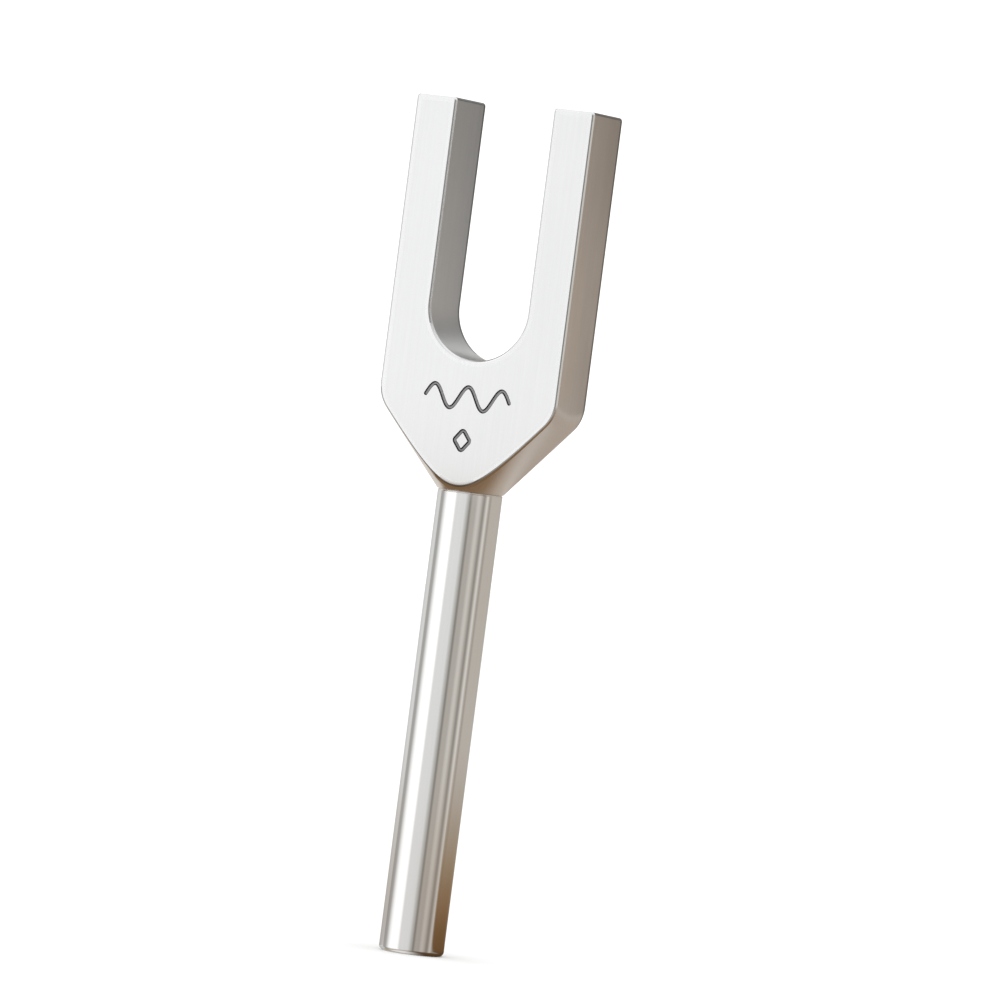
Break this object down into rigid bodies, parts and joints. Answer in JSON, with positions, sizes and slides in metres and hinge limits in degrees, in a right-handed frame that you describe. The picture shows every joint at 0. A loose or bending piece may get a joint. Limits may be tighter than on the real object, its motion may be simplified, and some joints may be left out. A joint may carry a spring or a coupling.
{
  "type": "tuning fork",
  "caption": "Two-pronged tuning fork: a U-shaped head of satin aluminium bar, turned to a cone at its lower end, on a polished round handle, joined by a hidden threaded stud.",
  "frame": {"origin": "centre of the handle's flat foot", "axes": "+Z along the handle to the prongs' ends, +X across the two prongs, -Y out of the marked front face"},
  "size_m": [0.0264, 0.0096, 0.115],
  "materials": {
    "satin_aluminium": "satin, fine lengthwise brushing, small polished chamfers",
    "polished_aluminium": "turned and polished",
    "stud_steel": "plain machined"
  },
  "bodies": {
    "root": {"fork_head": "satin_aluminium", "handle": "polished_aluminium", "joining_stud": "stud_steel"}
  },
  "joints": []
}
